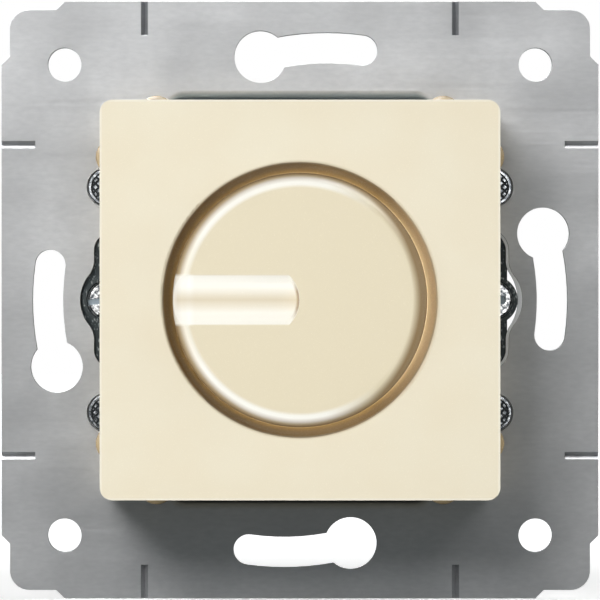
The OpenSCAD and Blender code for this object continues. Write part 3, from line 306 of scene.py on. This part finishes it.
# rough bright zinc on cold formed heads: sparkling grain on the face, a painted recess tone just below it, a
# plain shank
def formedZinc(name, piece, light, paintedShading, dull, sink):
    head = {"dark": "#5C6064", "grain": (0.45, 3), "contrast": (0.4, 0.6), "fine": (0.15, 2),
            "rough": (0.2, 0.42), "grainDepth": 0.03, "shank": "#B9BDC1", "shankShare": 0.9, "fade": 0.1}
    paintStart, paintFull, under = sink  # mm below the face: the painted recess tone begins, is full, and ends at the shank
    faded = under + head["fade"]
    inPaintedRecess = [("sunk", paintStart, paintFull), ("sunk", faded, under)]
    head["tones"] = {"shank": (head["shank"], head["shankShare"], [("sunk", under, faded)]),
                     "paintedShading": (paintedShading, 1, inPaintedRecess)}
    material, tree, place, (grain, fine) = begin(name, head["grain"], head["fine"])
    measures = measure(tree, place, piece)
    tone = drift(tree, grain, head["dark"], light, head["contrast"])
    tone = layTones(tree, tone, measures, head["tones"])
    below = shareOf(tree, measures, 1, inPaintedRecess)
    gloss = add(tree, "MapRange", [fine, *reach, *head["rough"]])
    gloss = add(tree, "Math", [gloss, below], operation="MAXIMUM")
    metal = add(tree, "MapRange", [below, 0, 1, 1, dull])
    relief = add(tree, "Bump", {"Height": grain, "Distance": head["grainDepth"] * mm})
    skin = {"Base Color": tone, "Metallic": metal, "Roughness": gloss, "Normal": relief}
    add(tree, "OutputMaterial", [add(tree, "BsdfPrincipled", skin)], None)
    return material


# bright steel with faint tool marks, grey drawn spring steel, glossy orange wire
turnedZinc = workedMetal("brightZincTurnedSteel", "#A8ACB0", "#E6E8EA", rough=0.36, line=0.3)
springSteel = workedMetal("temperedSpringSteel", "#83868A", "#A6A9AC", rough=0.34, line=0.2,
                          stretch=(1, 1, 20))
copperWire = workedMetal("enamelledCopperWire", "#9C4A1E", "#C9763C", rough=0.24, line=0.4)
# screw recesses painted pale and less metallic, a painted reflection; rivet recesses painted dark, a painted
# shade
screwHead = {"light": white, "paintedShading": "#B9C4CC", "dull": 0.4, "sink": (0.15, 0.35, 1.4)}
rivetHead = {"light": "#B4B7BA", "paintedShading": "#5C6064", "dull": 0.8, "sink": (0.1, 0.25, 1)}
finishes = [
    (zincSheet(), ["mounting_frame"]),
    (ivoryAbs(), ["cover_plate", "knob"]),
    (filledPlastic("slateMouldedNylon", "#262C2E", "#333B3D", rough=0.48, speck=0.15),  # near black, even
     ["rear_housing"]),
    (filledPlastic("scuffedMouldedNylon", "#262C2E", "#333B3D", rough=0.42, speck=0.9),  # pale scuffs
     ["front_deck"]),
    (filledPlastic("blackMouldedThermoset", "#1B1C1E", "#282A2C", rough=0.4),  # black, dense
     ["terminal_bodies", "switch_case", "wiper_rotor", "triac"]),
    (turnedZinc, ["terminal_screws", "triac_screw", "triac_nut", "claw_pins"]),
    (formedZinc("zincCoatedScrewHead", "left_claw_screw", **screwHead),
     ["left_claw_screw", "right_claw_screw"]),
    (formedZinc("zincCoatedRivetHead", "deck_rivets", **rivetHead), ["deck_rivets"]),
    (workedMetal("tinnedDrawnSteel", "#A9ABAD", "#C9CBCC", rough=0.32),  # soft silver
     ["pot_case", "fuse_caps"]),
    (springSteel, ["left_claw", "right_claw", "hub_ring", "switch_spring"]),
    (workedMetal("rolledBrass", "#B08A3E", "#D3B468", rough=0.3, line=0.15, stretch=(1, 12, 1)),  # yellow
     ["pot_tags", "switch_tags", "wiper_leaf", "fuse_clips", "terminal_clamps"]),
    (workedMetal("sawnAluminium", "#B4B6B8", "#D2D4D6", rough=0.4, line=0.1, stretch=(20, 1, 1)),  # saw lines
     ["heat_sink"]),
    (filledPlastic("naturalMouldedNylon", "#CFCBBD", "#DEDACD", rough=0.42),  # waxy, off white
     ["control_shaft", "switch_slider"]),
    (laminate("pressedPaperPhenolic", "#5A3418", "#7A4A25", weave=0.3), ["pot_wafer"]),  # brown
    (laminate("lacqueredGlassLaminate", "#14391F", "#245632", weave=0.6), ["circuit_board"]),  # deep green
    (filledPlastic("sinteredFerrite", "#2A2A2C", "#3C3C3F", rough=0.55), ["choke_core"]),  # dull charcoal
    (copperWire, ["choke_winding"]),
    (lacquer("yellowDippedEpoxy", "#B98E12", "#D3AA2A", rough=0.3), ["film_capacitor"]),  # strong yellow
    (lacquer("tanDippedLacquer", "#B49A6C", "#CDB489", rough=0.28), ["resistors"]),  # beige beads
    (drawnGlass("blueDrawnGlass", "#5578B8"), ["trigger_diode"]),  # blue bead
    (drawnGlass("clearDrawnGlass", "#E8F0F0"), ["fuse_tube"]),  # clear tube
]
for material, names in finishes:
    for name in names:
        nodes[name].data.materials.clear()
        nodes[name].data.materials.append(material)
print("materials on nodes:", sum(len(names) for _, names in finishes))


# the small radii that stamping and moulding leave on every edge, in mm
def softenEdges():
    edge = {"merge": 1e-6, "segments": 2, "sharper": 40,
            "radii": {"mounting_frame": 0.09, "cover_plate": 0.16, "knob": 0.1, "front_deck": 0.08,
                      "rear_housing": 0.15, "left_claw_screw": 0.06, "right_claw_screw": 0.06,
                      "deck_rivets": 0.05, "terminal_bodies": 0.12}}
    for name, radius in edge["radii"].items():
        weld = nodes[name].modifiers.new("weld", "WELD")
        weld.merge_threshold = edge["merge"]
        soft = nodes[name].modifiers.new("edge", "BEVEL")
        soft.width = radius * mm
        soft.segments = edge["segments"]
        soft.limit_method = "ANGLE"
        soft.angle_limit = math.radians(edge["sharper"])
        soft.use_clamp_overlap = True
        soft.harden_normals = True
    print("edges softened:", len(edge["radii"]))


softenEdges()


# a mesh swept through rings of points, capped at both ends
def sweep(name, rings, body, material):
    sides = len(rings[0])
    faces = []
    for i in range(len(rings) - 1):
        here, ahead = i * sides, (i + 1) * sides
        for j in range(sides):
            beside = (j + 1) % sides
            faces.append((here + j, here + beside, ahead + beside, ahead + j))
    last = (len(rings) - 1) * sides
    faces += [tuple(range(sides - 1, -1, -1)), tuple(range(last, last + sides))]
    mesh = bpy.data.meshes.new(name)
    mesh.from_pydata([point for ring in rings for point in ring], [], faces)
    mesh.validate()
    mesh.shade_smooth()
    mesh.materials.append(material)
    made = bpy.data.objects.new(name, mesh)
    bpy.context.scene.collection.objects.link(made)
    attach(made, body)
    return made


# rings of a round wire along a path, carried on without twist
def tube(points, wire, sides):
    rings, side = [], None
    for i, point in enumerate(points):
        along = (points[min(i + 1, len(points) - 1)] - points[max(i - 1, 0)]).normalized()
        side = side or along.orthogonal()
        side = (side - along * side.dot(along)).normalized()
        other = along.cross(side)
        turns = [2 * math.pi * j / sides for j in range(sides)]
        rings.append([point + (side * math.cos(t) + other * math.sin(t)) * wire for t in turns])
    return rings


# return spring of the push switch: open coils between two closed end turns
def makeSpring():
    spring = {"radius": 3, "wire": 0.35, "turns": 6, "steps": 40, "sides": 12, "front": 11.95, "back": 20.4,
              "travel": 1.5, "closed": 0.75}
    low, high = spring["front"] + spring["wire"], spring["back"] - spring["wire"]
    points = []
    for i in range(spring["turns"] * spring["steps"] + 1):
        turn = i / spring["steps"]
        part = min(max((turn - spring["closed"]) / (spring["turns"] - 2 * spring["closed"]), 0), 1)
        angle = 2 * math.pi * turn
        points.append(Vector((spring["radius"] * math.cos(angle), low + (high - low) * part,
                              spring["radius"] * math.sin(angle))) * mm)
    rings = tube(points, spring["wire"] * mm, spring["sides"])
    made = sweep("returnSpring", rings, "base", springSteel)
    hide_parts("switch_spring")
    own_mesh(made)


# copper turns laid round the ferrite ring, both ends bent to the board
def makeChoke():
    coil = {"turns": 13.75, "wire": 0.3, "spare": 0.06, "bore": 2, "steps": 32, "sides": 10, "open": 28,
            "board": 0.9, "square": 10}
    low, high = [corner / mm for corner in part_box("choke_core")]
    middle = (low + high) / 2
    outer, room = (high.x - low.x) / 2, coil["wire"] + coil["spare"]
    ring, thick = (outer + coil["bore"]) / 2, (outer - coil["bore"]) / 2 + room
    tall = (high.y - low.y) / 2 + room
    count = round(coil["turns"] * coil["steps"])
    points = []
    for i in range(count + 1):
        phase = 2 * math.pi * i / coil["steps"]
        around = math.radians(coil["open"] + (360 - 2 * coil["open"]) * i / count)
        flat = [math.copysign(abs(v) ** (2 / coil["square"]), v) for v in (math.cos(phase), math.sin(phase))]
        away = ring + thick * flat[0]
        points.append(Vector((middle.x + away * math.cos(around), middle.y + tall * flat[1],
                              middle.z + away * math.sin(around))) * mm)
    for end in (0, -1):  # straight ends down to the board
        foot = Vector((points[end].x, (low.y - coil["board"]) * mm, points[end].z))
        points.insert(0 if end == 0 else len(points), foot)
    rings = tube(points, coil["wire"] * mm, coil["sides"])
    made = sweep("chokeTurns", rings, "base", copperWire)
    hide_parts("choke_winding")


# rolled threads of the two claw screws, run out at both ends
def makeThreads():
    thread = {"away": 23, "root": 1.46, "crest": 1.58, "pitch": 0.5, "flank": 0.44, "steps": 28,
              "front": 4.3, "back": 12.3,
              "bodies": {"leftScrewThread": ("left_screw", -1), "rightScrewThread": ("right_screw", 1)}}
    turns = (thread["back"] - thread["front"]) / thread["pitch"]
    count = round(turns * thread["steps"])
    half = thread["pitch"] * thread["flank"]
    for name, (body, side) in thread["bodies"].items():
        rings = []
        for i in range(count + 1):
            angle = 2 * math.pi * i / thread["steps"]
            along = thread["front"] + (thread["back"] - thread["front"]) * i / count
            rise = min(1, i / thread["steps"], (count - i) / thread["steps"])
            crest = thread["root"] + (thread["crest"] - thread["root"]) * rise
            ring = [(side * thread["away"] + r * math.cos(angle), along + shift, r * math.sin(angle))
                    for r, shift in ((thread["root"], half), (crest, 0), (thread["root"], -half))]
            rings.append([tuple(c * mm for c in point) for point in ring])
        sweep(name, rings, body, turnedZinc)


makeSpring()
makeChoke()
makeThreads()
print("spring, choke turns and threads made")


# pale painted board that the frame stands on: matt, almost white, and lost in the background further out
def makeFloor():
    floor = {"size": 2.4, "pale": "#F4F3F0", "grain": (0.6, 2), "rough": (0.75, 0.9), "below": 0.02,
             "glow": (0.45, 0.85), "ring": (60, 110)}
    half = floor["size"] / 2
    level = cadBox[0][2] - floor["below"] * mm
    mesh = bpy.data.meshes.new("floor")
    corners = [(-half, -half, level), (half, -half, level), (half, half, level), (-half, half, level)]
    mesh.from_pydata(corners, [], [(0, 1, 2, 3)])
    made = bpy.data.objects.new("floor", mesh)
    bpy.context.scene.collection.objects.link(made)
    material, tree, place, (grain,) = begin("palePaintedBoard", floor["grain"])
    tone = drift(tree, grain, floor["pale"], white)
    gloss = add(tree, "MapRange", [grain, *reach, *floor["rough"]])
    away = add(tree, "VectorMath", [place], "Value", operation="LENGTH")
    glow = add(tree, "MapRange", [away, *floor["ring"], *floor["glow"]])
    glow = add(tree, "Math", [add(tree, "LightPath", out="Is Camera Ray"), glow], operation="MULTIPLY")
    skin = {"Base Color": tone, "Roughness": gloss, "Emission Color": linear(white),
            "Emission Strength": glow}
    add(tree, "OutputMaterial", [add(tree, "BsdfPrincipled", skin)], None)
    mesh.materials.append(material)
    made.visible_diffuse = False  # no bounce from below, as on a wall
    made.visible_glossy = False
    made.visible_shadow = False  # lets the low card through


# a plain room: white behind the object, a dim cool fill all round
def makeRoom():
    room = {"cool": "#EAF2F3", "dim": 0.13, "horizon": 0.4}
    world = bpy.data.worlds.new("studio")
    world.use_nodes = True
    bpy.context.scene.world = world
    tree = world.node_tree
    tree.nodes.clear()
    path = add(tree, "LightPath", out=None)
    back = add(tree, "SeparateXYZ", [add(tree, "TexCoord", out="Generated")], "Y")
    behind = add(tree, "MapRange", [back, 0, room["horizon"], 0, 1])
    clear = add(tree, "Math", [path["Is Glossy Ray"], path["Is Transmission Ray"]], operation="MAXIMUM")
    clear = add(tree, "Math", [clear, behind], operation="MULTIPLY")
    clear = add(tree, "Math", [clear, path["Is Camera Ray"]], operation="MAXIMUM")
    fill = add(tree, "Background", [linear(room["cool"]), room["dim"]])
    seen = add(tree, "Background", [linear(white), 1])
    add(tree, "OutputWorld", [add(tree, "MixShader", [clear, fill, seen])], None)


# soft boxes round the object: degrees to the left and up, metres away, metres across and high, watts
def makeLamps():
    card = {"away": 0.7, "off": ["diffuse"]}  # seen in gloss, not in bounced light
    box = {"away": 0.8, "off": ["glossy"]}  # lights, but isn't seen in gloss
    strip = {"away": 0.5, "off": ["diffuse"], "only": ["knob"]}
    coolStrip = {**strip, "tint": "#E6F0FF"}
    glint = {"away": 0.6, "off": ["diffuse"], "only": ["left_claw_screw", "right_claw_screw", "deck_rivets"]}
    lamps = {
        "keyBox": {**card, "left": 45, "up": 57, "size": (0.44, 0.66), "watts": 15,
                   "skip": ["cover_plate", "knob"]},
        "rightCard": {**card, "left": -48, "up": 50, "size": (0.3, 0.5), "watts": 2.3},
        "frontBox": {**box, "left": 0, "up": 2, "size": (0.26, 0.2), "watts": 1.6},
        "fillBox": {**box, "left": -82, "up": 8, "size": (0.3, 0.3), "watts": 1.8},
        "sideBox": {**box, "left": 20, "up": 2, "size": (0.26, 0.2), "watts": 3.3, "past": ["knob"]},
        "farBox": {**box, "left": 58, "up": 2, "size": (0.3, 0.3), "watts": 1.6},
        "highCard": {**coolStrip, "left": 15, "up": 88, "size": (0.5, 0.6), "watts": 2.1},
        "lowCard": {**coolStrip, "left": 15, "up": -75, "size": (0.5, 0.7), "watts": 2.4},
        "highStrip": {**coolStrip, "left": 15, "up": 39, "size": (0.5, 0.38), "watts": 1.2},
        "lowStrip": {**coolStrip, "left": 15, "up": -39, "size": (0.5, 0.38), "watts": 1.2},
        "leftStrip": {**strip, "left": 48, "up": 0, "size": (0.25, 0.6), "watts": 1.1},
        "leftGlint": {**glint, "left": 12, "up": 14, "size": (0.25, 0.25), "watts": 0.7},
        "rightGlint": {**glint, "left": -14, "up": 14, "size": (0.25, 0.25), "watts": 1.2},
        "backBox": {"left": 200, "up": 40, "away": 0.9, "size": (0.7, 0.5), "watts": 2.4, "off": []},
    }
    # the pieces that a lamp lights alone, leaves out or shines past
    rules = {"only": ("receiver", "INCLUDE"), "skip": ("receiver", "EXCLUDE"), "past": ("blocker", "EXCLUDE")}
    for name, lamp in lamps.items():
        light = bpy.data.lights.new(name, "AREA")
        light.shape = "RECTANGLE"
        light.size, light.size_y = lamp["size"]
        light.energy = lamp["watts"]
        light.color = linear(lamp.get("tint", white))[:3]
        made = bpy.data.objects.new(name, light)
        left, up = math.radians(lamp["left"]), math.radians(lamp["up"])
        toLamp = Vector((-math.sin(left) * math.cos(up), -math.cos(left) * math.cos(up), math.sin(up)))
        made.location = toLamp * lamp["away"]
        made.rotation_euler = (-toLamp).to_track_quat("-Z", "Y").to_euler()
        made.visible_camera = False
        made.visible_diffuse = "diffuse" not in lamp["off"]
        made.visible_glossy = "glossy" not in lamp["off"]
        bpy.context.scene.collection.objects.link(made)
        for rule, (link, state) in rules.items():
            if rule in lamp:
                group = bpy.data.collections.new(name + rule)
                for i, piece in enumerate(lamp[rule]):
                    group.objects.link(nodes[piece])
                    group.collection_objects[i].light_linking.link_state = state
                setattr(made.light_linking, link + "_collection", group)


# square on to the knob, as far away as the photograph's perspective tells; mm, across at the frame's front
def makeCamera():
    view = {"away": 401, "sheet": 1, "across": 71.37, "sensor": 36}
    camera = bpy.data.cameras.new("camera")
    camera.sensor_width = view["sensor"]
    camera.lens = view["sensor"] * (view["away"] - view["sheet"]) / view["across"]
    made = bpy.data.objects.new("camera", camera)
    made.location = (0, -view["away"] * mm, 0)
    made.rotation_euler = (math.radians(90), 0, 0)
    bpy.context.scene.collection.objects.link(made)
    bpy.context.scene.camera = made
    bpy.context.scene.view_settings.view_transform = "Standard"


makeFloor()
makeRoom()
makeLamps()
makeCamera()
print("floor, room, lamps and camera set")
